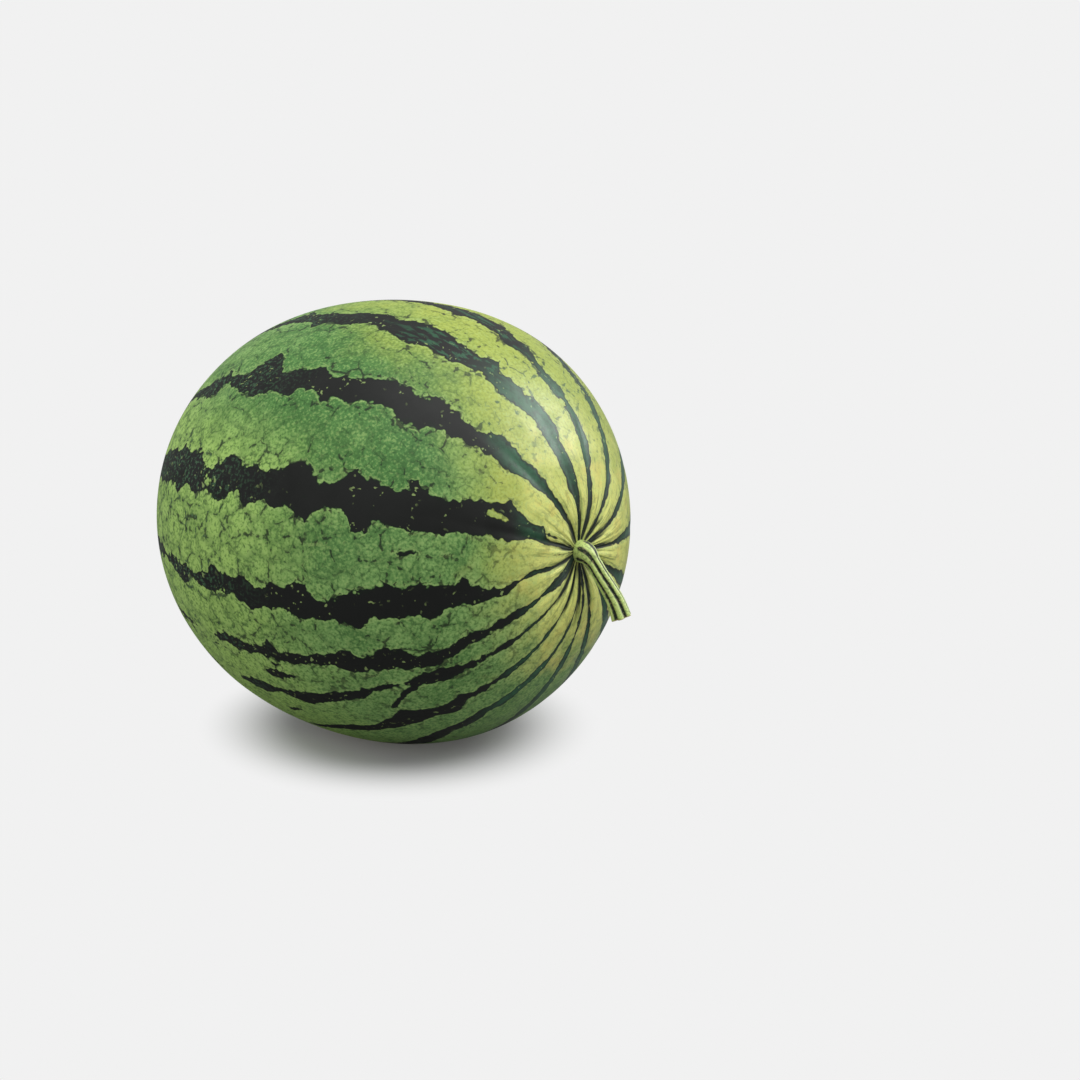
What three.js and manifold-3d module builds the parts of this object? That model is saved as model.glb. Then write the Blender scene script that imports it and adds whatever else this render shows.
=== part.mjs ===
// A whole watermelon lying on its side: one round striped fruit and the ribbed stump of its stem.
// Millimetres, +Z up. The origin is the middle of the small flat spot that the fruit rests on,
// and +X points to the stem end, which lies a little higher than the blossom end.

import * as THREE from "three";
import { mergeVertices } from "three/addons/utils/BufferGeometryUtils.js";
import Module from "manifold-3d";

const { degToRad, lerp, smoothstep } = THREE.MathUtils;

// The fruit's body
const FRUIT_LENGTH = 262; // end to end along its axis, before the two end hollows
const FRUIT_DIAMETER = 236; // round its middle
const STEM_HALF_FULLNESS = 0.062; // how much fatter the stem half is than an even body
const SHOULDER_FULLNESS = 0.029; // how far both shoulders swell past an ellipse
const REST_RISE = degToRad(3); // how far the axis tilts as the fruit lies, stem end up
const FLAT_DEPTH = 2; // how much the belly is flattened where it rests

// The hollow at the stem end, and the furrows that gather into it, one for each dark stripe
const STEM_HOLLOW_DEPTH = 5.5;
const STEM_HOLLOW_RADIUS = 18;
const FURROW_DEPTH = 1.5;
const FURROW_WIDTH = 2.6;
const FURROW_PEAK = 15; // distance from the axis where the furrows are deepest
const FURROW_LONGITUDES = [-57, -33, -5, 20, 46, 73, 97, 124, 158, 184, 206, 222, 240, 260, 281];

// The hollow at the blossom end, with the low scar that the flower leaves in it
const BLOSSOM_HOLLOW_DEPTH = 3;
const BLOSSOM_HOLLOW_RADIUS = 15;
const SCAR_RADIUS = 4.5;
const SCAR_HEIGHT = 0.9;

// The stem: its thick foot stands in a plain hole, and it bends down and aside to its cut end
const STEM_FOOT_RADIUS = 5.8;
const STEM_NECK_RADIUS = 4;
const STEM_CUT_RADIUS = 5.8;
const STEM_FOOT_DEPTH = 7; // how deep the foot stands below the bottom of the hollow
const STEM_FOOT_SHARE = 0.19; // how much of the stem's length the thick foot takes
const STEM_NECK_SHARE = 0.36; // where along the stem its thin neck begins
const STEM_RIBS = 6;
const STEM_RIB_DEPTH = 0.26; // as a share of the stem's radius
const HOLE_GAP = 0.3;
const STEM_PATH = [
  // along the axis from the bottom of the hollow, aside and up
  [-STEM_FOOT_DEPTH, 0, 0],
  [0, 0, 0],
  [3.4, 0.1, -0.9],
  [7, 0.6, -4.6],
  [10.8, 1.8, -11.3],
  [14.6, 3.5, -18.5],
  [18, 5, -26],
  [20.4, 6, -34],
];

// How finely the round surfaces are split
const FRUIT_SEGMENTS = 96;
const FRUIT_RINGS = 44;
const RING_CROWDING = 0.35; // draws the rings together towards both ends
const STEM_SIDES = 36;
const STEM_STEPS = 24;

// The two finishes
const RIND_FINISH = { color: 0x66904a, roughness: 0.45, metalness: 0 };
const STEM_FINISH = { color: 0xa4b868, roughness: 0.75, metalness: 0 };

const bell = (distance, width) => Math.exp(-((distance / width) ** 2));

// Half of the fruit's outline: the place along the axis and the distance from it, before the furrows
function outline(polar) {
  const cosine = Math.cos(polar);
  const sine = Math.sin(polar);
  const fullness = 1 + STEM_HALF_FULLNESS * cosine + 4 * SHOULDER_FULLNESS * (sine * cosine) ** 2;
  const across = (FRUIT_DIAMETER / 2) * sine * fullness;
  const stemHollow = STEM_HOLLOW_DEPTH * bell(across, STEM_HOLLOW_RADIUS);
  const scar = SCAR_HEIGHT * bell(across, SCAR_RADIUS);
  const blossomHollow = BLOSSOM_HOLLOW_DEPTH * bell(across, BLOSSOM_HOLLOW_RADIUS) - scar;
  const along = (FRUIT_LENGTH / 2) * cosine - (cosine > 0 ? stemHollow : -blossomHollow);
  return { along, across };
}

// How deep the furrows are at a distance from the axis, round the stem end
function furrowDepth(across, longitude) {
  const reach = across / FURROW_PEAK;
  const fade = reach * Math.exp(1 - reach);
  const nearest = FURROW_LONGITUDES.map((degrees) => {
    const turn = Math.abs(longitude - degToRad(degrees)) % (2 * Math.PI);
    return Math.min(turn, 2 * Math.PI - turn);
  }).reduce((least, turn) => Math.min(least, turn));
  return FURROW_DEPTH * fade * bell(nearest * across, FURROW_WIDTH);
}

// A point of the skin in the fruit's own frame: its axis is X, and longitude turns from +Y to +Z
function skinPoint(polar, longitude) {
  const { along, across } = outline(polar);
  const furrow = polar < Math.PI / 2 ? furrowDepth(across, longitude) : 0;
  const sunkAcross = across - furrow * Math.sin(polar);
  return new THREE.Vector3(
    along - furrow * Math.cos(polar),
    sunkAcross * Math.cos(longitude),
    sunkAcross * Math.sin(longitude),
  );
}

// Turns the fruit's own frame to how it lies: the lowest point of its belly goes to the origin,
// and then down by the depth of the flat spot
function lyingPlace() {
  const steps = 2000;
  const turn = new THREE.Matrix4().makeRotationY(-REST_RISE);
  let lowest = new THREE.Vector3(0, 0, Infinity);
  for (let step = 0; step <= steps; step += 1) {
    const { along, across } = outline(lerp(Math.PI / 4, (3 * Math.PI) / 4, step / steps));
    const belly = new THREE.Vector3(along, 0, -across).applyMatrix4(turn);
    if (belly.z < lowest.z) lowest = belly;
  }
  return turn.setPosition(-lowest.x, 0, -lowest.z - FLAT_DEPTH);
}

// Keeps only the corners of a closed geometry, each one once
function bareCorners(geometry) {
  geometry.deleteAttribute("normal");
  geometry.deleteAttribute("uv");
  return mergeVertices(geometry);
}

function bendVertices(geometry, place) {
  const corners = geometry.getAttribute("position");
  const corner = new THREE.Vector3();
  for (let index = 0; index < corners.count; index += 1) {
    corner.fromBufferAttribute(corners, index);
    const { x, y, z } = place(corner);
    corners.setXYZ(index, x, y, z);
  }
  return geometry;
}

function skinGeometry() {
  const ball = bareCorners(new THREE.SphereGeometry(1, FRUIT_SEGMENTS, FRUIT_RINGS));
  return bendVertices(ball, ({ x, y, z }) => {
    const even = Math.acos(THREE.MathUtils.clamp(y, -1, 1));
    return skinPoint(even - RING_CROWDING * Math.sin(2 * even), Math.atan2(x, z));
  });
}

// The plain hole for the stem's foot runs from below the foot to well above the skin
function stemHoleGeometry(hollowBottom) {
  const length = 3 * STEM_FOOT_DEPTH;
  const radius = STEM_FOOT_RADIUS + HOLE_GAP;
  const hole = new THREE.CylinderGeometry(radius, radius, length, STEM_SIDES);
  hole.rotateZ(-Math.PI / 2);
  hole.translate(hollowBottom - STEM_FOOT_DEPTH - HOLE_GAP + length / 2, 0, 0);
  return bareCorners(hole);
}

// Everything below the surface that the fruit rests on
function groundGeometry() {
  const ground = new THREE.BoxGeometry(FRUIT_LENGTH, FRUIT_DIAMETER, FRUIT_DIAMETER);
  ground.translate(0, 0, -FRUIT_DIAMETER / 2);
  return bareCorners(ground);
}

// The stem's section is round at its foot and has rounded ribs with sharp grooves further out
function stemRadius(share, turn) {
  const neck = smoothstep(share, STEM_FOOT_SHARE, STEM_NECK_SHARE);
  const foot = (STEM_FOOT_RADIUS - STEM_NECK_RADIUS) * (1 - neck);
  const flare = (STEM_CUT_RADIUS - STEM_NECK_RADIUS) * share ** 3;
  const groove = STEM_RIB_DEPTH * (1 - Math.abs(Math.cos((STEM_RIBS / 2) * turn)));
  return (STEM_NECK_RADIUS + foot + flare) * (1 - groove * neck);
}

function stemGeometry(hollowBottom) {
  const points = STEM_PATH.map(([along, aside, up]) => new THREE.Vector3(hollowBottom + along, aside, up));
  const path = new THREE.CatmullRomCurve3(points, false, "centripetal");
  const frames = path.computeFrenetFrames(STEM_STEPS);
  const rod = bareCorners(new THREE.CylinderGeometry(1, 1, 1, STEM_SIDES, STEM_STEPS));
  return bendVertices(rod, ({ x, y, z }) => {
    const step = Math.round((y + 0.5) * STEM_STEPS);
    const share = step / STEM_STEPS;
    const turn = Math.atan2(z, x);
    const reach = Math.hypot(x, z) * stemRadius(share, turn);
    return path
      .getPointAt(share)
      .addScaledVector(frames.normals[step], reach * Math.cos(turn))
      .addScaledVector(frames.binormals[step], -reach * Math.sin(turn));
  });
}

const wasm = await Module();
wasm.setup();

function solidOf(geometry) {
  const vertProperties = new Float32Array(geometry.getAttribute("position").array);
  const triVerts = new Uint32Array(geometry.getIndex().array);
  return new wasm.Manifold(new wasm.Mesh({ numProp: 3, vertProperties, triVerts }));
}

function geometryOf(solid) {
  const { vertProperties, triVerts } = solid.getMesh();
  const geometry = new THREE.BufferGeometry();
  geometry.setAttribute("position", new THREE.BufferAttribute(vertProperties, 3));
  geometry.setIndex(new THREE.BufferAttribute(triVerts, 1));
  geometry.computeVertexNormals();
  return geometry;
}

function namedMesh(name, geometry, finish) {
  const mesh = new THREE.Mesh(geometry, new THREE.MeshStandardMaterial(finish));
  mesh.name = name;
  return mesh;
}

const lying = lyingPlace();
const hollowBottom = outline(0).along;

const fruit = solidOf(skinGeometry().applyMatrix4(lying))
  .subtract(solidOf(stemHoleGeometry(hollowBottom).applyMatrix4(lying)))
  .subtract(solidOf(groundGeometry()));
const stem = stemGeometry(hollowBottom).applyMatrix4(lying);
stem.computeVertexNormals();

const watermelon = new THREE.Group();
watermelon.add(namedMesh("fruit", geometryOf(fruit), RIND_FINISH));
watermelon.add(namedMesh("stem", stem, STEM_FINISH));

export default watermelon;
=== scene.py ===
"""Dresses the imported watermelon: its striped, mottled rind and its ribbed stem, on a plain pale stage."""

import math
from types import SimpleNamespace

import bpy
import numpy as np
from bpy.props import FloatProperty, FloatVectorProperty, IntProperty, PointerProperty
from mathutils import Matrix, Vector


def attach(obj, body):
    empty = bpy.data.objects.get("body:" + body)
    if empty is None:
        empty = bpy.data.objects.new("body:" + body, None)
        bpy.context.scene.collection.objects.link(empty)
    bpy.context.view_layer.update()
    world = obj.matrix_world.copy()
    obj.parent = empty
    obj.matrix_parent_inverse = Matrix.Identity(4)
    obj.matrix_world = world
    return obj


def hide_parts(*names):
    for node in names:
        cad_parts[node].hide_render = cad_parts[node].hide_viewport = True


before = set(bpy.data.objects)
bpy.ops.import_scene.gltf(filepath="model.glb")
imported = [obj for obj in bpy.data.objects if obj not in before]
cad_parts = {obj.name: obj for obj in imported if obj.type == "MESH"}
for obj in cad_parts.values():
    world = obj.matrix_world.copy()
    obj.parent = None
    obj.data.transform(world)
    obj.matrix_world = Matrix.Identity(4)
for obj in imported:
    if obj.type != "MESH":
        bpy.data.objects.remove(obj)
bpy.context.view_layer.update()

bl_info = {
    "name": "Watermelon",
    "version": (1, 0, 0),
    "blender": (4, 5, 0),
    "location": "3D View > Sidebar > Watermelon",
    "description": "Builds the striped rind and the ribbed stem of a whole watermelon",
    "category": "Add Mesh",
}

MM = 0.001
BODY = "root"

# Names of what the rind's mesh carries for its material
STRIPE_DEPTH = "stripe_depth"  # metres inside a dark stripe, below zero outside
POLAR = "polar"  # degrees from the stem end
FURROW = "furrow"  # 0 to 1, how deep in a furrow round the stem
BAKE_UV = "OFBake"
# Names of what the stem's mesh carries
ALONG_STEM = "along_stem"  # 0 at the foot, 1 at the cut
RIB_CREST = "rib_crest"  # 0 in a groove, 1 on a rib

# Furrows gather the rind round the stem, one for each dark stripe, in degrees of longitude.
# Longitude turns round the fruit's axis from +Y over the top.
FURROW_LONGITUDES = (-57, -33, -5, 20, 46, 73, 97, 124, 158, 184, 206, 222, 240, 260, 281)

# Each dark stripe lies between two edges, which wander from the stem end to the blossom end through a
# few stations: degrees from the stem end, and longitude. Where the edges cross, the stripe has a break.
STRIPES = {
    "top": (
        ((10, 69), (20, 70), (26, 69), (35, 73), (39, 73), (42, 76), (46, 78.5), (50, 78.5), (54, 75.5),
         (56, 78), (66, 77), (80, 79), (110, 80), (140, 81)),
        ((10, 77), (26, 77.5), (35, 77.5), (39, 80.5), (43, 82), (48, 81), (54, 84), (60, 84), (72, 86),
         (80, 84), (110, 86), (140, 88)),
    ),
    "top front": (
        ((10, 93), (17, 92), (25, 92.5), (35, 92), (40, 95.5), (45, 96), (48, 99), (50.5, 94.5),
         (53, 98), (57, 99), (62, 97.5), (73, 98.5), (78, 101), (80, 99.5), (95, 100), (100, 101),
         (105, 97), (110, 101.5), (140, 102)),
        ((10, 100), (17, 104), (20, 101), (35, 101.5), (40, 104.5), (45, 106.5), (50, 104), (55, 105.5),
         (58, 108), (62, 109), (65, 107.5), (73, 109), (76, 106), (80, 105), (86, 106.5), (95, 106),
         (96.5, 110), (98, 106), (112, 105), (140, 106)),
    ),
    "upper front": (
        ((10, 121), (20, 119), (25, 118.5), (35, 120), (42, 123), (48, 123), (51, 121.5), (57, 123.5),
         (63, 123.5), (65, 122.5), (68, 125), (72, 126), (80, 126.5), (83.5, 123.5), (86, 125.5),
         (93, 127.5), (95, 125), (97, 121.5), (99, 120), (102, 124.5), (105, 127), (110, 127),
         (113, 126), (117, 128), (150, 128)),
        ((10, 126), (20, 126), (25, 127), (33, 130), (38, 129), (47, 131), (50, 130), (54, 132),
         (58, 132.5), (64, 130.5), (68, 131), (76, 133), (78, 135), (81, 132), (86, 131), (88, 134),
         (90.5, 134), (94, 132), (97, 134), (99, 136.5), (101, 134), (109, 131.5), (112, 131.5),
         (115, 134.5), (118, 134), (122, 132), (150, 132)),
    ),
    "front": (
        ((10, 155.5), (15, 155), (17, 147), (20, 148), (25, 145), (27.5, 142), (30, 145.5), (34, 147),
         (38, 149.5), (40, 151.5), (48, 150.5), (49.5, 147), (51.5, 150), (53, 153), (55.5, 152.5),
         (58, 151), (62, 150.5), (63.5, 148), (65, 152), (68, 154), (72, 154.5), (75, 151),
         (77.5, 150.5), (83, 153.5), (93, 154), (96, 151.5), (100, 152), (101, 154.5), (106, 155),
         (109, 153), (115, 151.5), (118, 149.5), (121, 151.5), (126, 150), (140, 151), (165, 153)),
        ((10, 161), (15, 160.5), (20, 158.5), (23, 160), (26, 163), (30, 161), (33, 162.5), (36, 161),
         (42, 163.5), (45, 162), (50, 163), (53, 161.5), (57, 163), (59, 166), (62, 165.5), (64, 161),
         (69, 160.5), (72, 162.5), (73, 165.5), (76, 163), (79, 161.5), (83, 163), (86, 160.5),
         (88, 163), (91, 163), (94, 160), (97, 162), (100, 164), (104, 161), (109, 163), (113, 160.5),
         (117, 162), (125, 160.5), (140, 161), (165, 159)),
    ),
    "lower front": (
        ((12, 183), (18, 180.5), (21, 184.5), (25, 186), (30, 185.5), (34, 181.5), (36, 178), (39, 181),
         (42, 179.5), (48, 180.5), (54, 179), (57, 180.5), (62, 182), (66, 184), (70, 184.5), (73, 181),
         (75, 180), (78, 181.5), (86, 183), (90, 181.5), (93, 182.5), (97, 181), (101, 180), (104, 184),
         (118, 183), (130, 182), (165, 182)),
        ((12, 186), (20, 184.8), (23, 187), (26, 192), (30, 191), (37, 189), (43, 192), (48, 190),
         (57, 189), (60, 191), (66, 189.5), (72, 189), (85, 188), (87, 190.5), (91, 189), (95, 186),
         (105, 187), (110, 186), (114, 188), (120, 185.5), (165, 186)),
    ),
    "first low": (
        ((10, 205), (38, 202), (41, 204), (45, 205.5), (49, 204.5), (52, 200.5), (58, 199.5), (62, 201),
         (66, 199.5), (75, 200), (84, 201), (86, 197), (89, 200), (94, 200.5), (100, 199), (104, 201),
         (107, 203), (112, 203), (118, 203.5), (130, 203), (165, 202)),
        ((10, 208), (38, 207), (42, 209), (48, 208.5), (54, 207.5), (61, 205), (66, 206), (70, 204),
         (76, 203.5), (90, 203.5), (96, 204), (103, 203), (107, 202), (112, 203.5), (118, 202.5),
         (130, 205), (165, 206)),
    ),
    "second low": (
        ((10, 221), (40, 214), (50, 212), (57, 211.5), (65, 212.5), (76, 213.5), (85, 215), (98, 214),
         (104, 217), (110, 219), (120, 218), (165, 218)),
        ((10, 224), (40, 217), (51, 215.5), (55, 214), (60, 213.3), (65, 215), (75, 217.5), (82, 219),
         (90, 217), (95, 219), (104, 218), (110, 218), (120, 221), (165, 222)),
    ),
    "second low branch": (
        ((51, 215.5), (53, 214), (56, 216), (60, 220), (62, 223)),
        ((51, 214), (53, 215.5), (56, 217.3), (60, 221), (62, 221)),
    ),
    "third low": (
        ((10, 239), (40, 229), (46, 226), (50, 228), (55, 226), (60, 223.5), (63, 226), (68, 228),
         (80, 230), (90, 234), (96, 237), (105, 235), (165, 236)),
        ((10, 242), (40, 232), (46, 232), (49.5, 234), (53, 231), (62, 232), (72, 232.5), (80, 232),
         (90, 236), (96, 235.5), (105, 237), (165, 240)),
    ),
    "fourth low": (
        ((10, 257), (45, 241), (55, 241), (60, 241), (66, 243), (72, 246), (100, 248), (165, 250)),
        ((10, 261), (45, 245), (56, 245), (60, 247), (66, 250), (72, 252), (100, 254), (165, 256)),
    ),
    "under": (
        ((8, 266), (50, 263), (90, 265), (165, 268)),
        ((8, 269), (50, 267), (90, 271), (165, 272)),
    ),
    "under back": (
        ((8, 279), (40, 283), (80, 286), (165, 286)),
        ((8, 283), (40, 288), (80, 293), (165, 290)),
    ),
    "low back": (
        ((8, -60), (60, -55), (100, -52), (165, -53)),
        ((8, -54), (60, -46), (100, -44), (165, -47)),
    ),
    "back": (
        ((8, -36), (50, -33), (70, -30), (90, -26), (165, -25)),
        ((8, -30), (50, -23), (70, -18), (165, -19)),
    ),
    "mid back": (
        ((8, -8), (40, -6), (65, -3), (90, 1), (165, 2)),
        ((8, -2), (40, 2), (65, 9), (90, 9), (165, 8)),
    ),
    "upper back": (
        ((8, 17), (40, 23), (60, 26), (85, 29), (165, 29)),
        ((8, 23), (40, 29), (60, 36), (165, 35)),
    ),
    "top back": (
        ((8, 43), (20, 43), (50, 56), (75, 56), (165, 55)),
        ((8, 49), (20, 49), (50, 62), (165, 61)),
    ),
    # Painted shadow: a dark wedge where the stem's shadow falls on the rind, next to a stripe's end
    "stem shadow": (
        ((4, 190), (9, 195), (14, 200), (20, 206)),
        ((4, 215), (9, 213), (14, 209), (20, 205)),
    ),
    "front fleck": (
        ((46.5, 171), (48, 169), (50, 169), (51.5, 171)),
        ((46.5, 169), (48, 171), (50, 171), (51.5, 169)),
    ),
    "low fleck": (
        ((80, 209), (82.5, 208), (89, 207.8), (92, 210)),
        ((80, 207), (82.5, 209.3), (89, 209.8), (92, 208)),
    ),
    "lowest fleck": (
        ((86, 225), (88, 223.3), (91, 224), (94, 227)),
        ((86, 222), (88, 225), (91, 226.5), (94, 225)),
    ),
    "stem fleck": (
        ((11, 152), (12.5, 150), (15, 150), (16.5, 152)),
        ((11, 150), (12.5, 152.3), (15, 152.3), (16.5, 150)),
    ),
}
# Light islands inside the stripes, between two edges in the same way
ISLANDS = {
    "front": (
        ((26, 152), (27.5, 149.5), (31.5, 149.5), (33, 152)),
        ((26, 150), (27.5, 152.5), (31.5, 153.5), (33, 150)),
    ),
    "late front": (
        ((102, 160), (103, 158), (105, 158), (106, 160)),
        ((102, 158), (103, 160), (105, 160), (106, 158)),
    ),
}

# The stem's way out of its hollow, in metres: along the fruit's axis, aside and up
STEM_PATH = [
    Vector(point) * MM
    for point in (
        (-7, 0, 0),
        (0, 0, 0),
        (3.4, 0.1, -0.9),
        (7, 0.6, -4.6),
        (10.8, 1.8, -11.3),
        (14.6, 3.5, -18.5),
        (18, 5, -26),
        (20.4, 6, -34),
    )
]


def paint(red, green, blue):
    """A colour as seen on a screen, 0 to 255, turned into the linear colour that a shader takes."""
    shares = (channel / 255 for channel in (red, green, blue))
    return tuple(s / 12.92 if s <= 0.04045 else ((s + 0.055) / 1.055) ** 2.4 for s in shares)


def length(name, description, default):
    return FloatProperty(
        name=name, description=description, default=default, unit="LENGTH", subtype="DISTANCE"
    )


def share(name, description, default):
    return FloatProperty(
        name=name, description=description, default=default, min=0, max=1, subtype="FACTOR"
    )


def strength(name, description, default):
    return FloatProperty(name=name, description=description, default=default, min=0)


def colour(name, description, default):
    return FloatVectorProperty(
        name=name, description=description, default=default, size=3, min=0, max=1, subtype="COLOR"
    )


def angle(name, description, degrees):
    return FloatProperty(name=name, description=description, default=math.radians(degrees), subtype="ANGLE")


class RindSettings(bpy.types.PropertyGroup):
    """Sizes and colours of the fruit itself"""

    fruit_length: length("Length", "End to end along the axis, before the hollows", 262 * MM)
    fruit_diameter: length("Diameter", "Across the middle of the fruit", 236 * MM)
    stem_half_fullness: share("Stem half fullness", "How much fatter than even the stem half is", 0.062)
    shoulder_fullness: share("Shoulder fullness", "How far both shoulders swell past an ellipse", 0.029)
    rest_rise: angle("Rise", "How far the axis tilts as the fruit lies, stem end up", 3)
    flat_depth: length("Flat depth", "How much the belly is flattened where it rests", 2 * MM)
    stem_hollow_depth: length("Stem hollow depth", "Depth of the hollow round the stem", 5.5 * MM)
    stem_hollow_radius: length("Stem hollow radius", "Reach of the hollow round the stem", 18 * MM)
    furrow_depth: length("Furrow depth", "Depth of the furrows that gather into the stem hollow", 1.5 * MM)
    furrow_width: length("Furrow width", "Half width of a furrow", 2.6 * MM)
    furrow_peak: length("Furrow peak", "Distance from the axis where furrows are deepest", 15 * MM)
    blossom_hollow_depth: length("Blossom hollow depth", "Depth of the hollow at the blossom end", 3 * MM)
    blossom_hollow_radius: length("Blossom hollow radius", "Reach of the hollow at that end", 15 * MM)
    scar_radius: length("Scar radius", "Radius of the scar that the flower left", 4.5 * MM)
    scar_height: length("Scar height", "How far the scar stands up", 0.9 * MM)
    segments: IntProperty(name="Segments", description="Faces round the fruit", default=440, min=32)
    rings: IntProperty(name="Rings", description="Faces from end to end", default=226, min=16)
    roughness: share("Roughness", "How dull the waxy skin is", 0.4)
    sheen: share("Sheen", "How strongly the waxy skin mirrors light", 0.21)
    leaf_green: colour("Ground green", "Most of the light ground", paint(122, 162, 92))
    cool_green: colour("Cool green", "Darker, cooler patches of the ground", paint(76, 124, 62))
    # Painted light, partly: yellow-green where the lights fall, over the ground's own yellower tone
    warm_green: colour("Warm green", "Yellow-green ground on the sunny side", paint(162, 176, 76))
    fresh_green: colour("Fresh green", "Lighter ground towards the blossom end", paint(166, 202, 104))
    stem_yellow: colour("Stem yellow", "Pale yellow ground round the stem", paint(218, 221, 122))
    fleck_green: colour("Fleck green", "Dark flecks in the ground", paint(54, 92, 44))
    rim_green: colour("Rim green", "Pale flecks, and the pale rim beside each stripe", paint(166, 192, 116))
    stripe_black: colour("Stripe black", "Dark stripes round the middle", paint(19, 21, 19))
    # Also the painted shade in the furrows round the stem
    edge_line_and_furrow_shade: colour("Stripe edge", "Darkest line inside each stripe's edge", paint(14, 24, 15))
    # Painted sheen, partly: the green that stripes turn on the lit side of the stem end
    stripe_green: colour("Stripe green", "Dark stripes towards the sunny stem end", paint(44, 92, 64))
    stripe_pepper: colour("Stripe pepper", "Green grains near the blossom end", paint(66, 104, 72))
    ripe_tint: colour("Ripe tint", "Tan patches by the stem", paint(208, 186, 92))
    soil_spot: colour("Soil spot", "Pale spot on the belly", paint(216, 208, 150))
    scar_brown: colour("Scar brown", "Corky scar at the blossom end", paint(128, 104, 66))


class StemSettings(bpy.types.PropertyGroup):
    """Sizes and colours of the stem"""

    foot_radius: length("Foot radius", "Radius where it leaves the fruit", 5.8 * MM)
    neck_radius: length("Neck radius", "Radius of its thin part", 4 * MM)
    cut_radius: length("Cut radius", "Radius at the cut end", 5.8 * MM)
    foot_share: share("Foot share", "How much of its length the foot takes", 0.19)
    neck_share: share("Neck share", "Where along it the neck begins", 0.36)
    ribs: IntProperty(name="Ribs", description="Ribs round the stem", default=6, min=3)
    rib_depth: share("Rib depth", "Depth of the grooves as a share of the radius", 0.3)
    rib_colour: colour("Rib", "Crests of the ribs", paint(188, 212, 118))
    # Painted shade in the grooves, and the colour of the stem's dark flecks
    groove_shade_and_flecks: colour("Groove", "Bottoms of the grooves", paint(18, 34, 14))
    cut_colour: colour("Cut", "Dry cut end", paint(186, 172, 120))


class StageSettings(bpy.types.PropertyGroup):
    """Camera, lights and floor"""

    azimuth: angle("Azimuth", "Where the camera stands round the fruit", 38.6)
    elevation: angle("Elevation", "How high the camera stands", 17)
    distance: length("Distance", "From the camera to the middle of the fruit", 1.5246)
    focal_pixels: FloatProperty(name="Focal length", description="In pixels of the picture", default=2830)
    aim: FloatVectorProperty(
        name="Aim", description="Pixel of the middle of the fruit", default=(389.3, 518.8), size=2
    )
    picture_side: FloatProperty(name="Picture", description="Pixels along a side", default=1080)
    floor_colour: colour("Floor", "Plain pale floor", (0.64, 0.64, 0.64))
    shadow_core: length("Shadow core", "How far from the spot the floor hardly glows", 54 * MM)
    shadow_reach: length("Shadow reach", "From how far the floor glows in full", 112 * MM)
    bounce_colour: colour("Bounce", "How much of the light the floor throws back up", (0.28, 0.28, 0.28))
    backdrop_colour: colour("Backdrop", "What is seen beyond the floor", paint(241, 241, 241))
    fill_power: strength("Fill light", "Strength of the even light all round", 0.54)


# Each sun's strength, and its azimuth, height and softness in degrees. The last one only shows as sheen.
SUNS = {"key": (2.2, 120, 66, 75), "front": (1.02, -35, 40, 120), "sheen": (4.2, 144, 28, 37)}
SUN_PARTS = ("power", "azimuth", "height", "softness")
for sun, (power, azimuth, height, softness) in SUNS.items():
    label = sun.capitalize()
    properties = (
        strength(f"{label} light", f"Strength of the {sun} light", power),
        angle(f"{label} azimuth", f"Where the {sun} light comes from", azimuth),
        angle(f"{label} height", f"How high the {sun} light stands", height),
        angle(f"{label} softness", f"How wide the {sun} light is", softness),
    )
    for part, part_property in zip(SUN_PARTS, properties):
        StageSettings.__annotations__[f"{sun}_{part}"] = part_property


class Field:
    """A value in a node tree that plain arithmetic works on."""

    def __init__(self, tree, socket):
        self.tree = tree
        self.socket = socket

    def __add__(self, other):
        return calculate("ADD", self, other)

    def __sub__(self, other):
        return calculate("SUBTRACT", self, other)

    def __rsub__(self, other):
        return calculate("SUBTRACT", other, self)

    def __mul__(self, other):
        return calculate("MULTIPLY", self, other)

    def __truediv__(self, other):
        return calculate("DIVIDE", self, other)

    def __neg__(self):
        return calculate("MULTIPLY", self, -1.0)

    __radd__ = __add__
    __rmul__ = __mul__


def add_node(tree, kind, inputs=None, **settings):
    """Adds a node with its settings, and links or sets its inputs, named or numbered in a dict."""
    node = tree.nodes.new(kind)
    for name, value in settings.items():
        setattr(node, name, value)
    for key, value in (inputs or {}).items():
        if isinstance(value, Field):
            tree.links.new(value.socket, node.inputs[key])
        else:
            node.inputs[key].default_value = value
    return node


def field_of(tree, kind, inputs=None, output=0, **settings):
    """One output of a new node, as a field."""
    return Field(tree, add_node(tree, kind, inputs, **settings).outputs[output])


def calculate(operation, *values):
    """One Math node."""
    tree = next(value.tree for value in values if isinstance(value, Field))
    return field_of(tree, "ShaderNodeMath", dict(enumerate(values)), operation=operation)


def bell(distance, width):
    """1 at no distance, falling away over the width."""
    ratio = distance / width
    return calculate("EXPONENT", -(ratio * ratio))


def ramp(value, low, high, start=0.0, end=1.0):
    """Runs smoothly from start to end as the value goes from low to high."""
    inputs = {"Value": value, "From Min": low, "From Max": high, "To Min": start, "To Max": end}
    return field_of(value.tree, "ShaderNodeMapRange", inputs, "Result", interpolation_type="SMOOTHSTEP")


def parts_of(vector):
    node = add_node(vector.tree, "ShaderNodeSeparateXYZ", {0: vector})
    return [Field(vector.tree, output) for output in node.outputs]


def vector_of(tree, x, y, z):
    return field_of(tree, "ShaderNodeCombineXYZ", {0: x, 1: y, 2: z})


def combine(operation, first, second):
    """One Vector Math node with two vectors."""
    return field_of(first.tree, "ShaderNodeVectorMath", {0: first, 1: second}, operation=operation)


def stretched(vector, factor):
    return field_of(vector.tree, "ShaderNodeVectorMath", {0: vector, "Scale": factor}, operation="SCALE")


def distance_from_axis(first, second):
    return calculate("SQRT", first * first + second * second)


def mix_colours(factor, first, second):
    first, second = (side if isinstance(side, Field) else (*side, 1) for side in (first, second))
    return field_of(factor.tree, "ShaderNodeMix", {0: factor, 6: first, 7: second}, 2, data_type="RGBA")


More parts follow.
